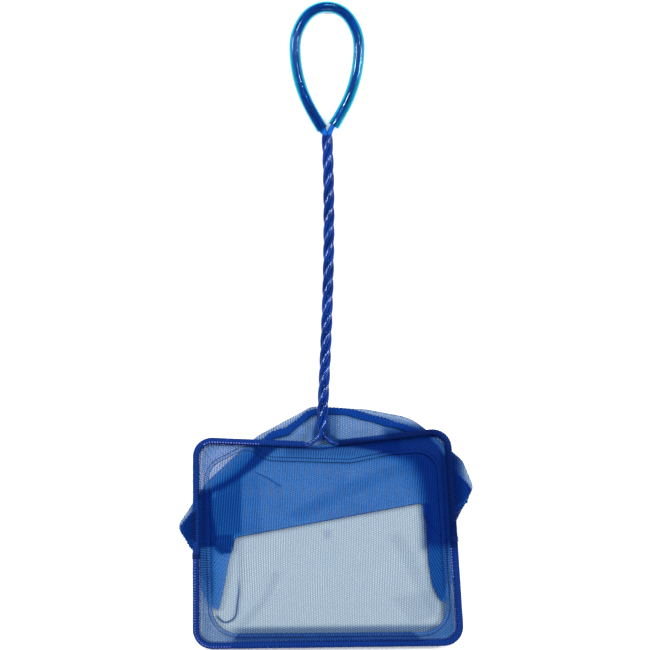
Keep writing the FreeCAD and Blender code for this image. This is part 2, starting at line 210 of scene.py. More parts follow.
knit_group.links.new(thread, knit_out.inputs["Thread"])
knit_group.links.new(maths(knit_group, "SUBTRACT", 1.0, between), knit_out.inputs["Column"])
knit_group.links.new(maths(knit_group, "SUBTRACT", 1.0, hole), knit_out.inputs["Height"])
print("group", knit_group.name, "has", len(knit_group.nodes), "nodes")

# %% [markdown]
# The second group is for smooth plastic, on the wires and the tube. Nothing moulded or drawn is
# quite even: the colour drifts a little from place to place, and the surface has a faint grain.

# %% The plastic
plastic_group, plastic_in, plastic_out = make_group(
    "drawn_plastic",
    {
        "Vector": ("NodeSocketVector", None),
        "Colour": ("NodeSocketColor", (0.01, 0.05, 0.35, 1)),
        "Deep Colour": ("NodeSocketColor", (0.005, 0.02, 0.2, 1)),
        "Patch Scale": ("NodeSocketFloat", 120.0),
        "Grain Scale": ("NodeSocketFloat", 2600.0),
        "Roughness": ("NodeSocketFloat", 0.25),
    },
    {"Color": "NodeSocketColor", "Roughness": "NodeSocketFloat", "Height": "NodeSocketFloat"},
)


def scaled_noise(tree, vector, scale_socket, detail):
    node = tree.nodes.new("ShaderNodeTexNoise")
    node.inputs["Detail"].default_value = detail
    tree.links.new(vector, node.inputs["Vector"])
    tree.links.new(scale_socket, node.inputs["Scale"])
    return node.outputs["Fac"]


patches = scaled_noise(plastic_group, plastic_in.outputs["Vector"], plastic_in.outputs["Patch Scale"], 3.0)
grain = scaled_noise(plastic_group, plastic_in.outputs["Vector"], plastic_in.outputs["Grain Scale"], 1.0)
tint = plastic_group.nodes.new("ShaderNodeMix")
tint.data_type = "RGBA"
plastic_group.links.new(ramp_between(plastic_group, patches, 0.35, 0.65), tint.inputs["Factor"])
plastic_group.links.new(plastic_in.outputs["Deep Colour"], tint.inputs["A"])
plastic_group.links.new(plastic_in.outputs["Colour"], tint.inputs["B"])
plastic_group.links.new(tint.outputs["Result"], plastic_out.inputs["Color"])
drift = maths(plastic_group, "SUBTRACT", patches, 0.5)
worn = maths(plastic_group, "MULTIPLY_ADD", drift, 0.25, plastic_in.outputs["Roughness"])
plastic_group.links.new(worn, plastic_out.inputs["Roughness"])
plastic_group.links.new(grain, plastic_out.inputs["Height"])
print("group", plastic_group.name, "has", len(plastic_group.nodes), "nodes")

# %% [markdown]
# ## Materials
# The netting's holes are real holes to the light: the group's thread mask goes to Alpha, so
# each layer darkens what lies under it, and three layers look much deeper than one. A painted
# `gather` value on each sheet closes the holes where the cloth is gathered or pulled up, and on
# the collar also along lines of painted shade.


# %% Helpers for materials
def new_material(name):
    """A material with a Principled BSDF; returns it with its tree and its shader."""
    material = bpy.data.materials.new(name)
    material.use_nodes = True
    tree = material.node_tree
    return material, tree, tree.nodes["Principled BSDF"]


def add_group(tree, group, **values):
    node = tree.nodes.new("ShaderNodeGroup")
    node.node_tree = group
    for socket, value in values.items():
        node.inputs[socket.replace("_", " ")].default_value = value
    return node


def add_bump(tree, shader, height, distance, strength=1.0):
    bump = tree.nodes.new("ShaderNodeBump")
    bump.inputs["Distance"].default_value = distance
    bump.inputs["Strength"].default_value = strength
    tree.links.new(height, bump.inputs["Height"])
    tree.links.new(bump.outputs["Normal"], shader.inputs["Normal"])


def mix_colours(tree, factor, first, second):
    """A blend of two colours; each is (red, green, blue) or a socket."""
    node = tree.nodes.new("ShaderNodeMix")
    node.data_type = "RGBA"
    for socket, colour in (("A", first), ("B", second)):
        if isinstance(colour, tuple):
            node.inputs[socket].default_value = (*colour, 1)
        else:
            tree.links.new(colour, node.inputs[socket])
    tree.links.new(factor, node.inputs["Factor"])
    return node.outputs["Result"]


# %% Netting
def netting_material(name, closeness, colours, cover=(0.26, 0.4)):
    """Knitted net that reads the cloth's own UV map, in metres.

    colours are those of a thread's lit top, of its flanks in painted shade and of net in painted
    shade. cover is the share of light that a hole stops, and how much more a thread stops; None
    makes the net solid.
    """
    lit_thread_colour, shade_colour, deep_colour = colours
    material, tree, shader = new_material(name)
    uv = tree.nodes.new("ShaderNodeUVMap")
    uv.uv_map = "cloth"
    gather = tree.nodes.new("ShaderNodeAttribute")
    gather.attribute_name = "gather"
    painted_shade = tree.nodes.new("ShaderNodeAttribute")
    painted_shade.attribute_name = "painted_shade"
    knit = add_group(tree, knit_group)
    tree.links.new(uv.outputs["UV"], knit.inputs["Vector"])
    tree.links.new(
        maths(tree, "MULTIPLY_ADD", gather.outputs["Fac"], 0.5, closeness), knit.inputs["Closeness"]
    )
    # A thread's top is drawn in its lit colour and its flanks in a darker one: painted light and shade
    # across every thread, varied a little at random.
    patches = noise_at(tree, uv.outputs["UV"], 60.0, 3.0)
    shade = maths(tree, "MULTIPLY", knit.outputs["Column"], ramp_between(tree, patches, 0.2, 0.7, 0.6, 1.0))
    knitted = mix_colours(tree, shade, shade_colour, lit_thread_colour)
    coloured = mix_colours(tree, painted_shade.outputs["Fac"], knitted, deep_colour)
    tree.links.new(coloured, shader.inputs["Base Color"])
    if cover:
        stopped = maths(tree, "MULTIPLY_ADD", knit.outputs["Thread"], cover[1], cover[0])
        stopped = maths(tree, "MULTIPLY_ADD", painted_shade.outputs["Fac"], 0.35, stopped)
        tree.links.new(stopped, shader.inputs["Alpha"])
    shader.inputs["Roughness"].default_value = 0.6
    shader.inputs["Specular IOR Level"].default_value = 0.02
    add_bump(tree, shader, knit.outputs["Height"], 0.0002)
    return material


# The plain net's pale grey-blue threads are painted light, for one layer lit through from the table below.
# The folded and collar nets are the same net in deeper blues: painted shade for net that lies over other
# layers. The third colour of each net is the navy that painted shade mixes in.
DEEP_BLUE = (0.0003, 0.01, 0.1)
netting = netting_material(
    "netting", 0.36, ((0.028, 0.11, 0.19), (0.016, 0.08, 0.15), DEEP_BLUE), cover=(0.398, 0.29)
)
folded_netting = netting_material(
    "netting_folded", 0.3, ((0.014, 0.13, 0.42), (0.002, 0.05, 0.23), DEEP_BLUE), cover=(0.2, 0.5)
)
collar_netting = netting_material(
    "netting_collar", 0.3, ((0.035, 0.14, 0.38), (0.008, 0.06, 0.25), DEEP_BLUE)
)
seam_netting = netting_material(
    "netting_seam", 0.8, ((0.0025, 0.036, 0.2), (0.001, 0.018, 0.13), DEEP_BLUE), cover=(0.75, 0.2)
)
hem_netting = netting_material(
    "hem_netting", 0.95, ((0.005, 0.03, 0.17), (0.0015, 0.013, 0.1), (0.0005, 0.006, 0.05)), cover=None
)

# %% [markdown]
# The wire's vinyl is glossy and deep blue, and the steel cores lie inside it.
# The tube is clear plastic with a light blue tint: Transmission Weight and Metallic stay plain
# numbers, and the tint varies a little through the plastic group.


# %% Vinyl, steel, tube and thread
def plastic_material(name, colour, deep_colour, roughness, patch_scale=120.0, bump=0.000005):
    material, tree, shader = new_material(name)
    coordinates = tree.nodes.new("ShaderNodeTexCoord")
    plastic = add_group(
        tree, plastic_group, Colour=(*colour, 1), Deep_Colour=(*deep_colour, 1),
        Roughness=roughness, Patch_Scale=patch_scale,
    )
    tree.links.new(coordinates.outputs["Object"], plastic.inputs["Vector"])
    tree.links.new(plastic.outputs["Color"], shader.inputs["Base Color"])
    tree.links.new(plastic.outputs["Roughness"], shader.inputs["Roughness"])
    add_bump(tree, shader, plastic.outputs["Height"], bump)
    return material, shader


vinyl, shader = plastic_material("wire_vinyl", (0.0016, 0.022, 0.17), (0.0008, 0.013, 0.11), 0.08)
shader.inputs["IOR"].default_value = 1.5
shader.inputs["Specular IOR Level"].default_value = 0.38
shader.inputs["Specular Tint"].default_value = (0.5, 0.72, 1.0, 1)

# The loop's wire is the same vinyl in a lighter blue with less shine, a lit copy: painted light for the
# wire as it looks inside the clear tube.
loop_vinyl, shader = plastic_material("loop_vinyl", (0.002, 0.11, 0.44), (0.001, 0.075, 0.35), 0.1)
shader.inputs["IOR"].default_value = 1.5
shader.inputs["Specular IOR Level"].default_value = 0.1
shader.inputs["Specular Tint"].default_value = (0.5, 0.72, 1.0, 1)

steel, shader = plastic_material("bare_steel", (0.55, 0.55, 0.56), (0.35, 0.35, 0.37), 0.35, 400.0)
shader.inputs["Metallic"].default_value = 1.0

clear_tube, shader = plastic_material(
    "clear_tube", (0.015, 0.52, 0.68), (0.01, 0.48, 0.64), 0.02, 40.0, 0.000003
)
shader.inputs["Transmission Weight"].default_value = 1.0
shader.inputs["IOR"].default_value = 1.3
shader.inputs["Specular Tint"].default_value = (0.65, 0.88, 1.0, 1)
shader.inputs["Specular IOR Level"].default_value = 0.55

# A thread's colour, its darker shade, its roughness and how much it shines.
THREADS = {
    "seam_thread": ((0.0015, 0.022, 0.16), (0.0005, 0.01, 0.1), 0.6, 0.05),
    "dark_thread": ((0.001, 0.012, 0.1), (0.0005, 0.006, 0.06), 0.6, 0.05),
    "stitch_thread": ((0.2, 0.24, 0.7), (0.07, 0.09, 0.45), 0.5, 0.3),
    "tick_thread": ((0.03, 0.09, 0.3), (0.012, 0.05, 0.2), 0.5, 0.1),
}
threads = {}
for name, (colour, shade, roughness, shine) in THREADS.items():
    threads[name], shader = plastic_material(name, colour, shade, roughness, 900.0, 0.00004)
    shader.inputs["Specular IOR Level"].default_value = shine

# %% Finishes for the CAD nodes that stay
for name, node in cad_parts.items():
    if name.endswith("_core"):
        finish = steel
    elif name.startswith("loop_wire"):
        finish = loop_vinyl
    elif name.endswith("_coating"):
        finish = vinyl
    elif name == "grip_tube":
        finish = clear_tube
    else:
        continue
    for place in range(max(len(node.data.materials), 1)):
        if node.data.materials:
            node.data.materials[place] = finish
        else:
            node.data.materials.append(finish)
print("wires and tube finished")

# %% [markdown]
# ## Lines on the cloth
# Every cloth piece follows lines that the frame gives: the middle of the wire round the mouth,
# and the outline of the bag. They are the rims of two CAD plates, read once and kept as points.


# %% Read a rim
def rims(node, height):
    """The closed rims of a flat node at this height, in metres, longest first."""
    shell = bmesh.new()
    shell.from_mesh(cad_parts[node].data)
    bmesh.ops.remove_doubles(shell, verts=shell.verts, dist=1e-6)
    beside = {}
    for edge in shell.edges:
        if len(edge.link_faces) == 2 and all(abs(v.co.z - height) < 1e-6 for v in edge.verts):
            slopes = [abs(face.normal.z) for face in edge.link_faces]
            if abs(slopes[0] - slopes[1]) > 0.5:
                for one, other in (edge.verts, reversed(edge.verts)):
                    beside.setdefault(one.index, []).append(other.index)
    shell.verts.ensure_lookup_table()
    found, seen = [], set()
    for start in sorted(beside):
        line = []
        here = start
        while here is not None and here not in seen:
            seen.add(here)
            line.append(shell.verts[here].co.xy.copy())
            here = next((n for n in beside[here] if n not in seen), None)
        if len(line) > 2:
            found.append(anticlockwise(line))
    shell.free()
    return sorted(found, key=line_length, reverse=True)


def anticlockwise(line):
    area = sum(a.x * b.y - b.x * a.y for a, b in zip(line, line[1:] + line[:1]))
    return line if area > 0 else line[::-1]


def line_length(line, closed=True):
    ends = line[1:] + (line[:1] if closed else [])
    return sum((b - a).length for a, b in zip(line, ends))


wire_line, _ = rims("collar_band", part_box("collar_band")[1].z)
bag_line = rims("lower_panel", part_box("lower_panel")[0].z)[0]
print("wire round the mouth", round(line_length(wire_line), 4), "m")
print("bag outline", round(line_length(bag_line), 4), "m")


# %% Helpers for lines
def evenly(line, spacing, closed=True):
    """The same line with points at an even spacing; an open line keeps both ends."""
    ends = line + (line[:1] if closed else [])
    steps = np.array([(b - a).length for a, b in zip(ends, ends[1:])])
    run = np.concatenate([[0], np.cumsum(steps)])
    count = max(round(run[-1] / spacing), 3)
    wanted = np.linspace(0, run[-1], count + 1)
    if closed:
        wanted = wanted[:-1]
    points = np.array([tuple(p) for p in ends])
    return [Vector(p) for p in np.stack([np.interp(wanted, run, c) for c in points.T], axis=1)]


def rounded(corners, closed=True, steps=12):
    """A line through corners (x, y, radius) in millimetres, each corner rounded by an arc."""
    line = []
    count = len(corners)
    for i, (x, y, radius) in enumerate(corners):
        corner = Vector((x, y)) / 1000
        if radius == 0 or (not closed and i in (0, count - 1)):
            line.append(corner)
            continue
        before = Vector(corners[i - 1][:2]) / 1000
        after = Vector(corners[(i + 1) % count][:2]) / 1000
        back = (before - corner).normalized()
        ahead = (after - corner).normalized()
        half_turn = (math.pi - back.angle(ahead)) / 2
        reach = min(
            radius / 1000 * math.tan(half_turn),
            0.49 * (before - corner).length,
            0.49 * (after - corner).length,
        )
        start, end = corner + back * reach, corner + ahead * reach
        centre = corner + (back + ahead).normalized() * (reach / math.tan(half_turn) / math.cos(half_turn))
        for step in range(steps + 1):
            toward = (start - centre).lerp(end - centre, step / steps)
            line.append(centre + toward.normalized() * (start - centre).length)
    return line


def headings(line, closed):
    """The direction in which a line runs at each of its points."""
    count = len(line)
    result = []
    for i in range(count):
        back = line[i - 1] if closed or i > 0 else line[i]
        ahead = line[(i + 1) % count] if closed or i < count - 1 else line[i]
        result.append((ahead - back).normalized())
    return result


def moved_in(line, distance, closed=True):
    """A line moved to its left, which is the inside of a closed anticlockwise one."""
    return [p + Vector((-h.y, h.x)) * distance for p, h in zip(line, headings(line, closed))]


# %% [markdown]
# ## Cutting cloth
# A sheet is cut like real cloth: its outline is filled with an even scatter of points, a
# triangulation joins them, and then each point is lifted to the height where the cloth lies.
# The UV map holds the flat position in metres, so the knit has the same size on every piece.


# %% Cut a sheet along an outline
def inside(outline, points):
    """Which of the points lie inside the outline."""
    ring = np.array([tuple(p) for p in outline])
    nxt = np.roll(ring, -1, axis=0)
    result = np.zeros(len(points), bool)
    for (ax, ay), (bx, by) in zip(ring, nxt):
        if ay != by:
            crosses = (ay > points[:, 1]) != (by > points[:, 1])
            result ^= crosses & (points[:, 0] < (bx - ax) * (points[:, 1] - ay) / (by - ay) + ax)
    return result


def cut_cloth(outline, spacing, tucks=()):
    """Flat points and triangles that fill an outline; the outline's own points come first.

    Along each tuck the points are closer, so that it can be pinched up as a narrow ridge.
    """
    ring = np.array([tuple(p) for p in outline])
    low, high = ring.min(0), ring.max(0)
    rows = np.arange(low[1], high[1], spacing * 0.87)
    columns = np.arange(low[0], high[0], spacing)
    grid = np.array([(x + (i % 2) * spacing / 2, y) for i, y in enumerate(rows) for x in columns])
    grid = grid[inside(outline, grid)]
    rows = [moved_in(tuck, shift, closed=False) for tuck in tucks for shift in TUCK_ROWS]
    pinched = np.array([tuple(p) for row in rows for p in row]).reshape(-1, 2)
    pinched = pinched[inside(outline, pinched)]
    nearest = np.full(len(grid), 1.0)
    for point in np.concatenate([ring, pinched]):
        nearest = np.minimum(nearest, np.hypot(*(grid - point).T))
    grid = grid[nearest > 0.6 * spacing]
    points = [Vector(p) for p in np.concatenate([ring, pinched, grid])]
    made = delaunay_2d_cdt(points, [], [list(range(len(ring)))], 1, 1e-9)
    flat = np.array([tuple(p) for p in made[0]])
    return flat, [list(face) for face in made[2]]


def cloth_object(name, points, faces, uv, material, gather=None, painted_shade=None):
    """A mesh object from points in metres, with its UV map and its painted values."""
    mesh = bpy.data.meshes.new(name)
    mesh.from_pydata([tuple(p) for p in points], [], faces)
    layer = mesh.uv_layers.new(name="cloth")
    corners = np.zeros(len(mesh.loops), int)
    mesh.loops.foreach_get("vertex_index", corners)
    layer.data.foreach_set("uv", np.asarray(uv, float)[corners].ravel())
    if painted_shade is None:
        painted_shade = painted_shade_at(np.array([tuple(p)[:2] for p in points]))
    for painted, given in (("gather", gather), ("painted_shade", painted_shade)):
        values = np.zeros(len(points)) if given is None else np.asarray(given, float)
        mesh.attributes.new(painted, "FLOAT", "POINT").data.foreach_set("value", values)
    mesh.materials.append(material)
    mesh.shade_smooth()
    mesh.update()
    piece = bpy.data.objects.new(name, mesh)
    bpy.context.scene.collection.objects.link(piece)
    area = sum(face.area for face in mesh.polygons)
    print(name, len(mesh.polygons), "faces,", round(area * 1e6), "mm2")
    return piece


def turned(flat, degrees):
    """UV for cloth whose columns are turned by this much from upright."""
    angle = math.radians(degrees)
    x, y = flat[:, 0], flat[:, 1]
    across = x * math.cos(angle) - y * math.sin(angle)
    upward = x * math.sin(angle) + y * math.cos(angle)
    return np.stack([across, upward], axis=1)


# %% [markdown]
# Cloth that lies loose is never flat. A few long soft creases are named once, as ridges with a
# start, an end, a width and a height, and every layer rises over the same ridges. That keeps the
# layers apart over most of the net, but some still cross, most of them at the side pleats.

# %% The creases
CREASES = [
    ((-62, -150), (-8, -112), 7.0, 0.5),
    ((-52, -172), (-30, -120), 4.0, 0.45),
    ((-20, -168), (12, -128), 9.0, 0.4),
    ((20, -160), (58, -112), 8.0, 0.5),
    ((-46, -160), (-47, -120), 1.6, 0.35),
    ((-60, -84), (12, -96), 5.0, 0.4),
    ((16, -90), (60, -74), 6.0, 0.4),
    ((-40, -60), (-6, -50), 3.0, 0.3),
    ((10, -54), (44, -62), 3.0, 0.3),
]


def crumple(x, y):
    """Height of the creases at points in metres."""
    height = 0.00012 * (1 + np.sin(x * 310 + y * 120) * np.sin(y * 260 - x * 90))
    for (ax, ay), (bx, by), width, rise in CREASES:
        along = np.array([bx - ax, by - ay]) / 1000
        offset = np.stack([x - ax / 1000, y - ay / 1000], axis=-1)
        share = np.clip(offset @ along / (along @ along), 0, 1)
        away = np.linalg.norm(offset - share[..., None] * along, axis=-1)
        fade = np.sin(np.pi * np.clip(share * 0.9 + 0.05, 0, 1))
        height = height + rise / 1000 * fade * np.exp(-((away / (width / 1000)) ** 2))
    return height


# %% [markdown]
# Here and there the net is pinched into a tuck, a narrow ridge. The thin dark line along it is painted
# shade, and the net's holes close a little there.

# %% The tucks
TUCK_ROWS = (-0.0007, -0.00035, 0.0, 0.00035, 0.0007)
TUCK_WIDTH = 0.0004
TUCK_RISE = 0.0004
TONGUE = [
    (-48.6, -120.6, 0), (-49.5, -151.3, 40), (-51.2, -166.8, 8), (-57.6, -169.8, 4), (-61.5, -166.0, 0),
]
SLANT = [(-40.1, -83.6, 0), (-33.0, -87.0, 20), (-25.9, -91.6, 0)]
tongue_tuck = evenly(rounded(TONGUE, closed=False), 0.0007, closed=False)
slant_tuck = evenly(rounded(SLANT, closed=False), 0.0007, closed=False)


def pinch(tuck, flat):
    """How much each flat point is pinched up into a tuck, from 0 to 1."""
    away = np.full(len(flat), 1.0)
    for point in evenly(tuck, 0.0002, closed=False):
        away = np.minimum(away, np.hypot(flat[:, 0] - point.x, flat[:, 1] - point.y))
    return np.exp(-((away / TUCK_WIDTH) ** 2))


CLOTH_SPACING = 0.0011
FLOOR_LAYER = 0.0003
BACK_LAYER = 0.0008
FRONT_LAYER = 0.0025
print("creases:", len(CREASES))

# %% [markdown]
# Where the net lies in folds and creases and over several layers, painted shade darkens it towards
# navy and closes its holes a little. Each such place is a strength of painted shade, a soft border in
# millimetres and an outline in millimetres. A negative strength takes that share of the painted shade
# away again, as a painted sheen, so such places come last in the table. Every sheet is painted with
# the same places, as a point value that its material reads.

# %% The deep places
PAINTED_SHADE_PLACES = {
    "painted shadow along the left seam": (0.92, 2.6, [
        (-41.2, -68.8), (-25.9, -68.8), (-31.6, -73.4), (-39.0, -80.2), (-48.1, -87.0),
        (-57.2, -92.7), (-64.5, -96.1), (-68.5, -99.0), (-73.1, -99.0), (-73.1, -93.8),
        (-66.3, -92.7), (-58.0, -88.7), (-49.8, -82.5), (-44.1, -77.3), (-41.2, -73.4),
    ]),
    "left block": (0.6, 1.2, [
        (-48.2, -84.7), (-48.2, -118.3), (-61.7, -121.1), (-64.0, -115.4), (-64.5, -99.5),
        (-58.9, -90.4),
    ]),
    "left strip": (0.97, 1.8, [
        (-71.9, -97.2), (-64.5, -94.4), (-64.0, -108.1), (-62.3, -116.6), (-61.7, -122.3),
        (-63.4, -126.3), (-71.9, -126.8),
    ]),
    "left flap": (0.85, 0.7, [
        (-63.4, -120.0), (-52.0, -118.9), (-52.9, -125.7), (-54.3, -129.7), (-59.4, -130.5),
        (-63.4, -127.4),
    ]),
    "left wedge": (0.35, 1.5, [
        (-71.9, -126.3), (-63.7, -126.3), (-63.4, -150.7), (-65.7, -154.7), (-69.1, -145.0),
        (-71.9, -142.2),
    ]),
    "right side": (0.95, 8.0, [
        (33.8, -59.7), (59.4, -56.3), (65.7, -60.9), (69.7, -66.0), (72.5, -72.2), (76.5, -73.9),
        (76.5, -99.5), (76.5, -126.3), (56.0, -125.7), (55.7, -102.4), (53.2, -87.0),
        (48.6, -78.5), (41.2, -75.6), (31.0, -73.4),
    ]),
    "right flap": (1.0, 0.8, [
        (55.4, -100.7), (60.0, -102.4), (60.6, -122.3), (57.2, -125.1), (56.3, -116.6),
    ]),
    "right wedge": (0.6, 1.0, [
        (56.6, -122.8), (69.7, -122.8), (69.1, -146.7), (66.3, -157.5), (63.4, -155.3),
        (60.0, -148.4), (57.7, -134.8),
    ]),
    "top strip": (0.97, 2.0, [
        (5.4, -65.4), (31.0, -64.3), (42.4, -63.7), (42.4, -75.1), (31.0, -72.2), (13.9, -69.4),
        (5.4, -68.8),
    ]),
    "left lobe": (0.9, 0.8, [
        (-73.6, -105.2), (-78.2, -109.2), (-82.2, -115.2), (-81.0, -118.9), (-78.8, -122.3),
        (-73.6, -123.1),
    ]),
    "right lobe": (0.9, 0.8, [
        (71.9, -81.3), (77.1, -87.0), (81.0, -91.0), (82.7, -93.3), (81.6, -96.7), (78.8, -100.7),
        (74.8, -102.9), (71.9, -102.9),
    ]),
    "under the rope": (0.6, 1.6, [
        (-7.7, -62.0), (-4.8, -52.9), (1.4, -49.5), (2.6, -62.0), (8.8, -66.0), (-7.7, -66.0),
    ]),
    "beside the rope": (0.25, 0.8, [
        (0.9, -51.2), (6.0, -51.8), (6.0, -64.3), (0.9, -64.3),
    ]),
    "left of the net": (0.14, 2.0, [
        (-48.3, -87.0), (-38.4, -84.7), (-36.1, -118.9), (-48.3, -118.9),
    ]),
    "soft fold": (0.14, 4.0, [
        (-23.0, -108.1), (2.6, -93.8), (42.4, -77.9), (48.1, -82.5), (8.2, -99.5), (-14.5, -110.9),
    ]),
    "below the top hem": (0.3, 2.0, [
        (-23.0, -68.8), (42.4, -68.8), (42.4, -74.5), (-23.0, -74.5),
    ]),
    "beside the lens": (0.3, 1.2, [
        (-66.3, -90.4), (-60.6, -84.2), (-54.9, -79.0), (-49.8, -73.4), (-45.2, -71.1),
        (-36.1, -71.1), (-42.9, -77.9), (-53.2, -84.7), (-63.4, -94.4),
    ]),
    "lens": (0.4, 1.0, [
        (-66.3, -87.0), (-64.0, -81.9), (-58.9, -77.3), (-49.8, -72.2), (-54.9, -78.5),
        (-60.6, -84.2), (-66.3, -89.3),
    ]),
    "right shade": (0.35, 13.0, [
        (41.2, -72.2), (77.6, -72.2), (77.6, -126.3), (56.0, -126.3), (55.4, -102.4),
        (46.9, -87.0),
    ]),
    "small dark spot": (0.15, 2.4, [
        (-1.4, -116.8), (0.6, -115.6), (2.6, -116.8), (2.8, -119.6), (0.8, -121.8), (-1.4, -120.4),
    ]),
    "left crease": (0.12, 2.0, [
        (-50.6, -120.6), (-46.6, -120.6), (-47.2, -150.7), (-48.9, -163.2), (-52.0, -168.9),
        (-54.3, -167.8), (-50.9, -158.7), (-49.8, -150.7),
    ]),
    "slanting crease": (0.1, 3.0, [
        (-29.3, -139.3), (-36.1, -155.3), (-44.1, -163.8), (-52.0, -171.7), (-45.8, -171.7),
        (-37.8, -163.8), (-29.9, -151.8), (-25.9, -141.0),
    ]),
    "right crease": (0.09, 4.0, [
        (36.1, -120.0), (44.1, -134.8), (52.0, -150.1), (60.0, -164.9), (64.0, -159.8),
        (56.0, -142.7), (48.1, -126.3), (41.8, -117.7),
    ]),
    "lower right": (0.1, 5.0, [
        (37.8, -155.3), (62.3, -150.1), (64.0, -164.9), (49.8, -170.0),
    ]),
    "bottom of the collar": (0.7, 1.5, [
        (-49.8, -175.2), (49.2, -174.0), (56.0, -179.7), (-53.2, -179.7),
    ]),
    "sheen in the upper right corner": (-0.85, 1.2, [
        (59.6, -63.9), (63.4, -63.6), (66.5, -66.8), (67.8, -70.0), (67.8, -73.8), (67.0, -73.8),
        (65.3, -70.8), (63.4, -67.8), (61.2, -65.8),
    ]),
}


def edge_distance(corners, points):
    """Distance of each point from a closed outline of straight edges."""
    nearest = np.full(len(points), 1.0)
    for start, end in zip(corners, np.roll(corners, -1, axis=0)):
        along = end - start
        share = np.clip((points - start) @ along / (along @ along), 0, 1)
        nearest = np.minimum(nearest, np.linalg.norm(points - start - share[:, None] * along, axis=1))
    return nearest


def painted_shade_at(points):
    """How much painted shade lies on the net at flat points in metres, from 0 to 1.

    A negative strength takes that share of the painted shade away again, as a painted sheen, so such places
    come last.
    """
    light = np.ones(len(points))
    for painted_shade, border, corners in PAINTED_SHADE_PLACES.values():
        ring = np.array(corners) / 1000
        away = edge_distance(ring, points) * np.where(inside([Vector(c) for c in ring], points), 1, -1)
        share = np.clip(away / (border / 1000) + 0.5, 0, 1)
        share = share * share * (3 - 2 * share)
        light = light * (1 - painted_shade * share) if painted_shade > 0 else 1 - (1 - light) * (1 + painted_shade * share)
    return 1 - light


print("deep places:", len(PAINTED_SHADE_PLACES))

# %% [markdown]
# ## The bag's back panel
# This is the largest sheet: one layer behind the whole mouth, out to the bag's outline. Along the
# lower hem its edge is turned up to the wire, and there the net is pulled tight and looks denser.


# %% Distance from a line
def distance_to(line, flat):
    """Shortest distance from each flat point to a closed line of close points."""
    nearest = np.full(len(flat), 1.0)
    for point in line:
        nearest = np.minimum(nearest, np.hypot(flat[:, 0] - point.x, flat[:, 1] - point.y))
    return nearest


def smooth_step(value, low, high):
    share = np.clip((value - low) / (high - low), 0, 1)
    return share * share * (3 - 2 * share)


# %% Back panel
frame_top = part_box("hem_lower")[1].z
hem_radius = (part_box("hem_lower")[1].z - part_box("hem_lower")[0].z) / 2
wire_height = frame_top - hem_radius
left_meeting_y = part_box("hem_upper_left")[0].y
right_meeting_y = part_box("hem_upper_right")[0].y

close_wire = evenly(wire_line, 0.001)
outline = evenly(bag_line, CLOTH_SPACING)
flat, faces = cut_cloth(outline, CLOTH_SPACING, [tongue_tuck])
x, y = flat.T
from_wire = distance_to(close_wire, flat)
below = smooth_step(-y, -left_meeting_y - 0.004, -left_meeting_y + 0.006)
pull = (1 - smooth_step(from_wire, 0.0003, 0.0042)) * below
height = FLOOR_LAYER + crumple(x, y) * smooth_step(from_wire, 0.002, 0.012)
height = height + pull * (wire_height - hem_radius * 0.6 - FLOOR_LAYER)
tucked = pinch(tongue_tuck, flat) * smooth_step(-y, 0.138, 0.156)
height = height + TUCK_RISE * tucked
hem_pull = (1 - smooth_step(from_wire, 0.0085, 0.0115)) * smooth_step(-y, 0.148, 0.16)
hem_pull = hem_pull * (1 - smooth_step(-x, 0.046, 0.058))
uv = turned(flat, 0)
uv[:, 0] += 0.0006 * np.sin(y * 75 + x * 40)
from_edge = distance_to(outline, flat)
rim = -0.5 * (1 - smooth_step(from_edge, 0.0016, 0.0028)) * (from_wire > 0.003) * (from_edge > 0.0001)
edge_depth = 0.45 * (from_edge < 0.0001)
# The tuck's thin dark line is painted shade in the net's colour.
back_panel = cloth_object(
    "back_panel", np.column_stack([flat, height]), faces, uv, netting,
    gather=0.4 * hem_pull + rim + tucked,
    painted_shade=np.max([painted_shade_at(flat), tucked, 0.47 * hem_pull, edge_depth], axis=0),
)
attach(back_panel, "root")
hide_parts("lower_panel")

# %% [markdown]
# ## The upper panel
# This sheet hangs from the upper hem, runs down in front of the bag to a slanting fold, and goes
# back up under itself to the bag's edge. It is cut as a front and a back part whose lower edges
# have the same points, and a half-round strip of faces joins the two along the fold.


# %% Part of a closed line
def part_of(line, start, end):
    """The points of an anticlockwise closed line from near start to near end."""
    first = min(range(len(line)), key=lambda i: (line[i] - start).length)
    last = min(range(len(line)), key=lambda i: (line[i] - end).length)
    return line[first : last + 1] if last > first else line[first:] + line[: last + 1]


left_meeting = min(close_wire, key=lambda p: abs(p.y - left_meeting_y) + (p.x > 0))
right_meeting = min(close_wire, key=lambda p: abs(p.y - right_meeting_y) + (p.x < 0))
print("side meetings", [round(v * 1000, 1) for v in (*left_meeting, *right_meeting)])

FOLD = [
    (left_meeting.x * 1000, left_meeting.y * 1000, 0),
    (-69.5, -125.0, 3),
    (-64.5, -123.5, 3),
    (-53.6, -129.2, 1.5),
    (-52.2, -120.6, 1.5),
    (-46.5, -119.2, 4),
    (55.2, -100.4, 1.5),
    (56.2, -108.6, 2),
    (64.5, -118.9, 6),
    (right_meeting.x * 1000, right_meeting.y * 1000, 0),
]
fold_line = evenly(rounded(FOLD, closed=False), CLOTH_SPACING, closed=False)

# %% Front, back and fold
FOLD_STEPS = 6

upper_wire = evenly(part_of(close_wire, right_meeting, left_meeting), CLOTH_SPACING, closed=False)
front_flat, front_faces = cut_cloth(fold_line + upper_wire[1:-1], CLOTH_SPACING, [slant_tuck])
upper_edge = part_of(evenly(bag_line, 0.0005), right_meeting, left_meeting)
upper_edge = evenly(upper_edge, CLOTH_SPACING, closed=False)
back_flat, back_faces = cut_cloth(fold_line + upper_edge[1:-1], CLOTH_SPACING)

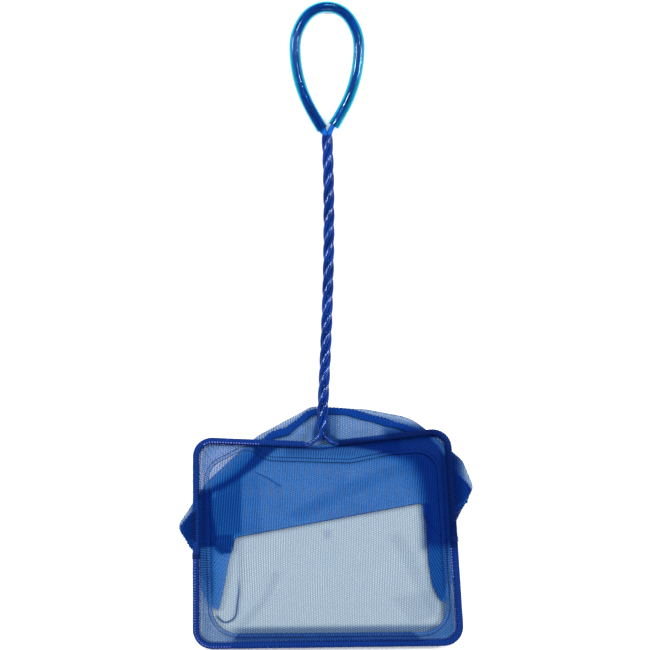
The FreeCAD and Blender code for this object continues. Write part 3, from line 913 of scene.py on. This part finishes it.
near_wire = distance_to(close_wire, front_flat)
front_tuck = pinch(slant_tuck, front_flat)
front_height = FRONT_LAYER + crumple(*front_flat.T) * smooth_step(near_wire, 0.002, 0.012)
front_height = front_height + TUCK_RISE * front_tuck
front_height = front_height + (wire_height - hem_radius * 0.6 - FRONT_LAYER) * (
    1 - smooth_step(near_wire, 0.0003, 0.0035)
)
back_near = distance_to(close_wire, back_flat)
back_height = BACK_LAYER + crumple(*back_flat.T) * smooth_step(back_near, 0.002, 0.012)

count = len(fold_line)
points = [*np.column_stack([front_flat, front_height]), *np.column_stack([back_flat, back_height])]
faces = front_faces + [[i + len(front_flat) for i in reversed(face)] for face in back_faces]
uv = [*turned(front_flat, 4), *(turned(back_flat, -3) + (0.0004, 0.0003))]
rings = [list(range(count))]
for step in range(1, FOLD_STEPS):
    angle = math.pi * step / FOLD_STEPS
    ring = []
    for i in range(count):
        ahead = (fold_line[min(i + 1, count - 1)] - fold_line[max(i - 1, 0)]).normalized()
        outward = Vector((ahead.y, -ahead.x))
        reach = (front_height[i] - back_height[i]) / 2
        middle = (front_height[i] + back_height[i]) / 2
        spot = fold_line[i] + outward * reach * math.sin(angle)
        ring.append(len(points))
        points.append((spot.x, spot.y, middle + reach * math.cos(angle)))
        uv.append((uv[i][0], uv[i][1] - reach * angle))
    rings.append(ring)
rings.append([i + len(front_flat) for i in range(count)])
for upper, lower in zip(rings, rings[1:]):
    for i in range(count - 1):
        faces.append([upper[i], lower[i], lower[i + 1], upper[i + 1]])
rim = 1 - smooth_step(distance_to(outline, back_flat), 0.0016, 0.0028)
rim = -0.5 * rim * (back_near > 0.003)
gather = np.zeros(len(points))
gather[: len(front_flat)] = front_tuck
gather[len(front_flat) : len(front_flat) + len(back_flat)] = rim
painted_shade = painted_shade_at(np.array([tuple(p)[:2] for p in points]))
# The slanting tuck's thin dark line is painted shade as well.
painted_shade[: len(front_flat)] = np.maximum(painted_shade[: len(front_flat)], 0.8 * front_tuck)
# The strip round the fold is drawn darker: denser net where it turns edge-on, with painted shade in the
# fold.
painted_shade[len(front_flat) + len(back_flat) :] = np.maximum(painted_shade[len(front_flat) + len(back_flat) :], 0.45)
upper_panel = cloth_object(
    "upper_panel_net", points, faces, uv, folded_netting, gather=gather, painted_shade=painted_shade
)
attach(upper_panel, "root")
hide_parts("upper_panel")

# %% [markdown]
# ## The side pleats
# The bag is wider than the frame, so its spare width is tucked in at both sides as a fold of two
# layers. The folds reach from the pointed lobes outside the frame to the dark wedges inside it.

# %% Pleats
PLEAT_LOW = 0.0012
PLEAT_HIGH = 0.0021
PLEAT_GATHER = 0.12
LEFT_PLEAT = [
    (-81.9, -116.2, 2), (-79.2, -121.4, 2), (-74.6, -123.6, 2), (-71.6, -131, 3), (-71.2, -150, 8),
    (-66.5, -159, 5), (-60.9, -163.0, 1.5), (-59.4, -157, 6), (-57.2, -146.7, 16), (-55.4, -136, 16),
    (-52.9, -126, 6), (-52.4, -120.8, 1.5), (-48.3, -118.8, 1.5), (-48.0, -84, 1.5), (-56, -89, 6),
    (-66, -98, 6), (-75.2, -106.8, 4),
]
RIGHT_PLEAT = [
    (56.4, -66.5, 1.5), (56.2, -99.5, 4), (56.9, -112, 16), (57.6, -124, 16), (58.6, -137.3, 16),
    (60.2, -147.7, 10), (63.2, -153.6, 6), (65.9, -158.2, 1.5), (70.5, -155, 4), (72.6, -140, 8),
    (72.4, -123, 4), (75.0, -103.2, 3), (79.2, -101, 2), (81.9, -95.2, 2), (74.5, -85, 6),
    (64, -75.2, 6), (60.5, -68.5, 3),
]


def side_pleat(name, corners, fold_start, fold_end, turns):
    """Two layers of net joined by a straight strip of faces along part of their outline."""
    line = evenly(rounded(corners), CLOTH_SPACING)
    flat, faces = cut_cloth(line, CLOTH_SPACING)
    lift = crumple(*flat.T) * smooth_step(distance_to(close_wire, flat), 0.002, 0.012)
    low = np.column_stack([flat, PLEAT_LOW + lift])
    high = np.column_stack([flat, PLEAT_HIGH + lift])
    points = [*high, *low]
    faces = faces + [[i + len(flat) for i in reversed(face)] for face in faces]
    uv = [*turned(flat, turns[0]), *turned(flat, turns[1])]
    joined = part_of(line, Vector(fold_start) / 1000, Vector(fold_end) / 1000)
    ring = [min(range(len(line)), key=lambda k: (line[k] - p).length) for p in joined]
    for i, j in zip(ring, ring[1:]):
        faces.append([i, i + len(flat), j + len(flat), j])
    return cloth_object(name, points, faces, uv, folded_netting, gather=np.full(len(points), PLEAT_GATHER))


left_pleat = side_pleat("pleat_net_left", LEFT_PLEAT, (-60.9, -163.0), (-48.0, -84.0), (34, -8))
right_pleat = side_pleat("pleat_net_right", RIGHT_PLEAT, (56.4, -66.5), (65.9, -158.2), (-28, 6))
for piece, node, size, area in (
    (left_pleat, "side_pleat_left", (0.066, 0.080), 0.0027),
    (right_pleat, "side_pleat_right", (0.050, 0.092), 0.0024),
):
    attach(piece, "root")
    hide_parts(node)

# %% [markdown]
# ## Sweeping a cloth strip
# The hem and the seam are strips that follow a line. One helper carries a cross-section along a
# line and writes a UV map whose first number runs along the strip, so the knit's columns go
# straight across it, as they do on cloth that is wrapped round a wire.


# %% Sweep
def sweep(name, line, section, material, closed_section, gather=0.0):
    """Carries a section along an open line.

    section(run, share) gives the points (inward, height) at a distance from the line's start.
    """
    runs = np.concatenate([[0], np.cumsum([(b - a).length for a, b in zip(line, line[1:])])])
    points, faces, uv = [], [], []
    for spot, heading, run in zip(line, headings(line, False), runs):
        inward = Vector((-heading.y, heading.x))
        width = 0.0
        profile = section(run, run / runs[-1])
        for k, (offset, height) in enumerate(profile):
            if k:
                width += math.hypot(offset - profile[k - 1][0], height - profile[k - 1][1])
            points.append((spot.x + inward.x * offset, spot.y + inward.y * offset, height))
            uv.append((run, width))
    size = len(profile)
    spans = size if closed_section else size - 1
    for i in range(len(line) - 1):
        for k in range(spans):
            a, b = i * size + k, i * size + (k + 1) % size
            faces.append([a, a + size, b + size, b])
    return cloth_object(name, points, faces, uv, material, gather=np.full(len(points), gather))


# %% [markdown]
# ## The hems
# Each hem is a strip of net folded round the wire, sewn so tight that it puckers: its radius
# swells and shrinks a little with every stitch, and it closes onto the wire at its open end. The
# strip's two edges meet in a fine slit on the inner side, under the collar.

# %% Hems
SLEEVE_SIDES = 16
SLIT_AT = math.pi + 0.6
SLIT_HALF = 0.06
PUCKER_PITCH = 0.0014
SLEEVE_STEP = 0.00035
CORE_RADIUS = 0.00095
wire_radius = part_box("strand_front_coating")[1].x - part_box("strand_front_core")[1].x + CORE_RADIUS


def sleeve_section(length, closes_at_start, closes_at_end):
    def section(run, share):
        swell = 0.5 + 0.5 * math.cos(2 * math.pi * run / PUCKER_PITCH)
        slow = math.sin(run * 190) * math.sin(run * 67 + 1)
        radius = hem_radius * (0.955 + 0.04 * swell + 0.02 * slow)
        ends = [run] if closes_at_start else []
        ends += [length - run] if closes_at_end else []
        for end in ends:
            radius += (wire_radius * 1.06 - radius) * (1 - float(smooth_step(end, 0.0, 0.0016)))
        ring = []
        for side in range(SLEEVE_SIDES + 1):
            angle = SLIT_AT + SLIT_HALF + 2 * (math.pi - SLIT_HALF) * side / SLEEVE_SIDES
            ring.append((-radius * math.cos(angle), wire_height + radius * math.sin(angle)))
        return ring

    return section


left_end = Vector((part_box("hem_upper_left")[1].x, 0))
right_end = Vector((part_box("hem_upper_right")[0].x, 0))
TOP_BAR_FROM = -0.0735
top_side = [p for p in evenly(wire_line, SLEEVE_STEP) if p.y > TOP_BAR_FROM]
left_end = min((p for p in top_side if p.x < 0), key=lambda p: abs(p.x - left_end.x))
right_end = min((p for p in top_side if p.x > 0), key=lambda p: abs(p.x - right_end.x))
fine_wire = evenly(wire_line, SLEEVE_STEP)
hem_routes = {
    "hem_sleeve_upper_left": ("hem_upper_left", left_end, left_meeting, True, False),
    "hem_sleeve_lower": ("hem_lower", left_meeting, right_meeting, False, False),
    "hem_sleeve_upper_right": ("hem_upper_right", right_meeting, right_end, False, True),
}
for name, (node, start, end, closes_at_start, closes_at_end) in hem_routes.items():
    route = part_of(fine_wire, start, end)
    length = line_length(route, closed=False)
    hem = sweep(name, route, sleeve_section(length, closes_at_start, closes_at_end), hem_netting, False)
    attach(hem, "root")
    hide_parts(node)

# %% [markdown]
# ## The collar
# Inside the hem a strip of net is turned in over the mouth. Its ribs run straight out from the
# wire and fan out round the corners, its free edge cuts the corners in wide curves, and that edge
# is folded under once and sewn down. The strip is ruled between two lines, and to keep the ribs
# straight the lines are matched corner by corner.

# %% Match two closed lines
COLLAR_START = 0.0014
COLLAR_EDGE = [
    (-66.8, -81.3, 12), (-64.2, -175.4, 15), (69.3, -174.4, 14), (62.5, -71.8, 12),
    (36, -74.0, 20), (14, -78.6, 20), (-33, -77.2, 14), (-44.5, -69.8, 10),
]
COLLAR_ROWS = 14
STITCH_INSET = 0.0023
COLLAR_LAYER = 0.0031
COLLAR_TUCK = 0.0010
COLLAR_CLIMB = 0.0026
RIB_PITCH = 0.0028
RIB_SHADE_PITCH = 0.0024
TURNED_EDGE_DROP = 0.00022


def corner_starts(line):
    """Where the line turns its four corners, anticlockwise from the top left."""
    rules = [lambda p: p.y - p.x, lambda p: -p.y - p.x, lambda p: p.x - p.y, lambda p: p.x + p.y]
    return [max(range(len(line)), key=lambda i, rule=rule: rule(line[i])) for rule in rules]


def by_corners(line, share_of_side):
    """Points of a closed line, spread over each side between two corners as told."""
    starts = corner_starts(line)
    result = []
    for side, wanted in enumerate(share_of_side):
        first, last = starts[side], starts[(side + 1) % 4]
        run = line[first : last + 1] if last > first else line[first:] + line[: last + 1]
        steps = np.array([(b - a).length for a, b in zip(run, run[1:])])
        at = np.concatenate([[0], np.cumsum(steps)]) / steps.sum()
        xy = np.array([tuple(p) for p in run])
        result += [Vector((np.interp(s, at, xy[:, 0]), np.interp(s, at, xy[:, 1]))) for s in wanted]
    return result


outer_line = moved_in(evenly(wire_line, 0.0005), COLLAR_START)
edge_line = evenly(rounded(COLLAR_EDGE), 0.0005)
per_side = [np.arange(n) / n for n in (230, 290, 230, 290)]
outer_line = by_corners(outer_line, per_side)
edge_line = by_corners(edge_line, per_side)
print("collar columns", len(outer_line), "free edge", round(line_length(edge_line), 4), "m")

# %% Collar
points, faces, uv, gather, painted_shade = [], [], [], [], []
columns = len(outer_line)
middle_run = 0.0
for i, (start, end) in enumerate(zip(outer_line, edge_line)):
    middle = start.lerp(end, 0.35)
    if i:
        middle_run += (middle - last_middle).length
    last_middle = middle
    width = (end - start).length
    corner = float(smooth_step(width, 0.0085, 0.0125))
    shares = [(k / COLLAR_ROWS, 0) for k in range(COLLAR_ROWS + 1)]
    shares += [(1 - STITCH_INSET * back / 3 / width, back) for back in (1, 2, 3)]
    for k, (share, back) in enumerate(shares):
        spot = start.lerp(end, share)
        reach = share * width
        hill = crumple(np.array(spot.x), np.array(spot.y)) * smooth_step(reach, 0.002, 0.010)
        rib = math.cos(2 * math.pi * middle_run / RIB_PITCH) * (0.00006 + 0.00012 * corner) * (1 - share)
        wave = 0.00015 * math.sin(middle_run * 160) * share
        climb = 1 - float(smooth_step(reach, 0.0, COLLAR_CLIMB))
        height = COLLAR_LAYER + (wire_height - COLLAR_TUCK - COLLAR_LAYER) * climb
        height += float(hill) + rib + wave - (TURNED_EDGE_DROP if back else 0.0)
        points.append((spot.x, spot.y, height))
        uv.append((middle_run, reach if not back else width + STITCH_INSET * back / 3))
        # The collar carries painted shade: a dark line along the hem, in the groove where the collar meets
        # it, and thin dark lines round the corners at a pitch near the ribs', which also close the net's
        # holes; those lines are weaker in the lower left. Its free edge is drawn dark, less so on the
        # right, and the net closes up more towards the right.
        lower_left = float(smooth_step(-spot.y, 0.15, 0.172) * smooth_step(-spot.x, 0.048, 0.064))
        ridge = math.cos(2 * math.pi * middle_run / RIB_SHADE_PITCH) * corner * (1 - share)
        ridge *= 1 - 0.5 * lower_left
        rightward = 0.3 * float(smooth_step(spot.x, -0.04, 0.06))
        gather.append(rightward - 0.15 - 0.3 * lower_left + 0.35 * ridge)
        hem_groove_shade = 0.95 * (1 - float(smooth_step(reach, 0.0007, 0.0018)))
        free_edge = (0.9 - 0.4 * float(smooth_step(spot.x, 0.02, 0.05))) if share == 1 else 0.0
        painted_shade.append(max(hem_groove_shade, free_edge, 0.45 * ridge))
size = COLLAR_ROWS + 4
for i in range(columns):
    j = (i + 1) % columns
    for k in range(size - 1):
        a, b = i * size + k, j * size + k
        faces.append([a, b, b + 1, a + 1])
painted_shade = np.maximum(painted_shade, painted_shade_at(np.array(points)[:, :2]))
collar = cloth_object("collar_net", points, faces, uv, collar_netting, gather=gather, painted_shade=painted_shade)
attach(collar, "root")
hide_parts("collar_band")

# %% [markdown]
# ## The bag's edge seam
# The back of the bag is closed by an overlocked seam that shows as a dark band through the net.
# It is a flat roll of thread and net, so it gets a low rounded section with scalloped sides.

# %% Seam
SEAM_LINE = [
    (-74.3, -126.0, 0), (-80.4, -115.9, 2), (-66, -96.4, 10), (-53, -85.6, 12), (-38.5, -71.5, 12),
    (-30.5, -62.8, 3), (-22, -60.6, 4), (-9.5, -50.6, 5), (-4, -48.8, 5), (12, -49.4, 25),
    (44, -58.2, 25), (55.5, -62.8, 8), (66, -77, 25), (80.0, -93.2, 2.2), (79.0, -99.6, 2),
    (74.3, -104.4, 0),
]
SEAM_HALF_WIDTH = 0.0019
SEAM_LAYER = 0.00165
SEAM_HALF_HEIGHT = 0.0004
SCALLOP_PITCH = 0.0021
seam_route = evenly(rounded(SEAM_LINE, closed=False), 0.00035, closed=False)[::-1]


def seam_section(run, share):
    scallop = 0.5 + 0.5 * math.cos(2 * math.pi * run / SCALLOP_PITCH)
    drift = 0.12 * math.sin(run * 93) + 0.08 * math.sin(run * 410 + 2)
    half = SEAM_HALF_WIDTH * (0.8 + drift + 0.4 * share)
    ring = []
    for side in range(10):
        angle = 2 * math.pi * side / 10
        tooth = (0.3 if math.cos(angle) > 0 else 0.12) * scallop * SEAM_HALF_WIDTH
        ring.append((-(half + tooth) * math.cos(angle), SEAM_LAYER + SEAM_HALF_HEIGHT * math.sin(angle)))
    return ring


edge_seam = sweep("edge_seam", seam_route, seam_section, seam_netting, True)
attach(edge_seam, "root")
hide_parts("bag_edge_seam")

# %% [markdown]
# ## Stitches
# One stitch is modelled by hand: a small sphere is stretched into a bead and its underside is
# flattened. An Array modifier repeats it to the length of a curve, and a Curve modifier bends the
# row along it, the way a sewing machine lays stitches. Both are applied at the end.


# %% Sew a row of stitches
def sew(name, line, height, size, pitch, material, closed=True, slant=0.0):
    """A row of stitches along a flat line; size is a stitch's (length, width, thickness)."""
    curve = bpy.data.curves.new(name + "_route", "CURVE")
    curve.dimensions = "3D"
    curve.twist_mode = "Z_UP"
    spline = curve.splines.new("POLY")
    spline.points.add(len(line) - 1)
    for point, spot in zip(spline.points, line):
        point.co = (spot.x, spot.y, height(spot) if callable(height) else height, 1)
    spline.use_cyclic_u = closed
    route = bpy.data.objects.new(name + "_route", curve)
    bpy.context.scene.collection.objects.link(route)

    bpy.ops.object.select_all(action="DESELECT")
    bpy.ops.mesh.primitive_uv_sphere_add(segments=8, ring_count=6, radius=0.5)
    stitch = bpy.context.object
    stitch.name = name
    bpy.ops.object.mode_set(mode="EDIT")
    bpy.ops.mesh.select_all(action="SELECT")
    bpy.ops.transform.resize(value=size)
    if slant:
        bpy.ops.transform.rotate(value=slant, orient_axis="Z", center_override=(0, 0, 0))
    bpy.ops.mesh.select_all(action="DESELECT")
    bpy.ops.object.mode_set(mode="OBJECT")
    for vertex in stitch.data.vertices:
        vertex.select = vertex.co.z < -0.1 * size[2]
    bpy.ops.object.mode_set(mode="EDIT")
    bpy.ops.transform.resize(value=(1, 1, 0.3), center_override=(0, 0, 0))
    bpy.ops.object.mode_set(mode="OBJECT")

    row = stitch.modifiers.new("row", "ARRAY")
    row.fit_type = "FIT_CURVE"
    row.curve = route
    row.use_relative_offset = False
    row.use_constant_offset = True
    row.constant_offset_displace = (pitch, 0, 0)
    follow = stitch.modifiers.new("follow", "CURVE")
    follow.object = route
    follow.deform_axis = "POS_X"
    bpy.ops.object.modifier_apply(modifier="row")
    bpy.ops.object.modifier_apply(modifier="follow")
    bpy.data.objects.remove(route)
    stitch.data.materials.append(material)
    stitch.data.shade_smooth()
    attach(stitch, "root")
    print(name, len(stitch.data.polygons), "faces")
    return stitch


# %% Rows of stitches
def on_sleeve(spot):
    """Height of the hem's surface above a point near the wire."""
    away = min((spot - p).length for p in close_wire)
    return wire_height + math.sqrt(max(hem_radius**2 - away**2, 0.0)) - 0.00002


HEM_STITCH_INSET = 0.0024
HEM_STITCH_HEIGHT = 0.0039
HEM_STITCH_SIZE = (0.0010, 0.0004, 0.0004)
HEM_STITCH_PITCH = 0.0014
ring_line = evenly(wire_line, 0.002)
seat_line = moved_in(ring_line, HEM_STITCH_INSET)
hem_row = sew(
    "hem_stitches", seat_line, HEM_STITCH_HEIGHT, HEM_STITCH_SIZE, HEM_STITCH_PITCH,
    threads["seam_thread"],
)
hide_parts("hem_stitching")

# %% Topstitches
TOPSTITCHES = {
    "topstitches_upper_left": ((-39.0, -67.0), (-70.0, -68.0), 0.0007, (0.0010, 0.0006, 0.0004)),
    "topstitches_left": ((-73.8, -130.0), (-53.0, -182.0), -0.0006, (0.0008, 0.0004, 0.0003)),
    "topstitches_right": ((76.0, -143.0), (75.0, -126.5), 0.0021, (0.0011, 0.0006, 0.0003)),
}
TOPSTITCH_PITCH = 0.00155
for name, (start, end, inset, size) in TOPSTITCHES.items():
    route = part_of(moved_in(ring_line, inset), Vector(start) / 1000, Vector(end) / 1000)
    top_row = sew(
        name, route, on_sleeve, size, TOPSTITCH_PITCH, threads["stitch_thread"], closed=False, slant=0.6
    )

# %% Collar stitches
COLLAR_STITCH_HEIGHT = 0.0033


def on_collar(spot):
    """Height of the collar's surface near its free edge."""
    return COLLAR_STITCH_HEIGHT + 0.8 * float(crumple(np.array(spot.x), np.array(spot.y)))


seam_line = moved_in(edge_line[::4], -STITCH_INSET)
collar_row = sew(
    "collar_stitches", seam_line, on_collar, (0.0012, 0.0005, 0.0003), 0.0013, threads["dark_thread"]
)
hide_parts("collar_stitching")

hem_edge = [(-66.5, -140.0), (67.5, -146.0)]
tick_line = part_of(moved_in(edge_line[::4], -0.55 * STITCH_INSET), *(Vector(p) / 1000 for p in hem_edge))
tick_row = sew(
    "collar_ticks", tick_line, on_collar, (0.0005, 0.0011, 0.0003), 0.0014, threads["tick_thread"],
    closed=False,
)

# %% [markdown]
# ## The side wraps
# Where the upper and the lower hem meet on each side bar, a few turns of thread hold them
# together. Each turn is a thin torus round the hem, tilted a little against its neighbour.

# %% Side wraps
WRAP_TURNS = 6
WRAP_THREAD = 0.00024
RIGHT_BAR_LEAN = math.atan2(7.8, 120.5)
bpy.ops.object.select_all(action="DESELECT")
turns = []
for meeting, lean in ((left_meeting, 0.0), (right_meeting, RIGHT_BAR_LEAN)):
    for turn in range(WRAP_TURNS):
        shift = (turn - (WRAP_TURNS - 1) / 2) * 2 * WRAP_THREAD
        bpy.ops.mesh.primitive_torus_add(
            location=(meeting.x - shift * math.sin(lean), meeting.y + shift, wire_height),
            rotation=(math.pi / 2, 0, lean + 0.06 * (-1) ** turn),
            major_segments=28, minor_segments=8,
            major_radius=hem_radius + WRAP_THREAD * 0.8, minor_radius=WRAP_THREAD,
        )
        turns.append(bpy.context.object)
bpy.ops.object.select_all(action="DESELECT")
for turn in turns:
    turn.select_set(True)
bpy.context.view_layer.objects.active = turns[0]
bpy.ops.object.join()
side_wraps = bpy.context.object
side_wraps.name = "side_wraps"
bpy.ops.object.transform_apply(location=True, rotation=True, scale=True)
side_wraps.data.materials.clear()
side_wraps.data.materials.append(threads["dark_thread"])
side_wraps.data.shade_smooth()
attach(side_wraps, "root")
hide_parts("side_tacks")
print("side wraps", len(side_wraps.data.polygons), "faces")
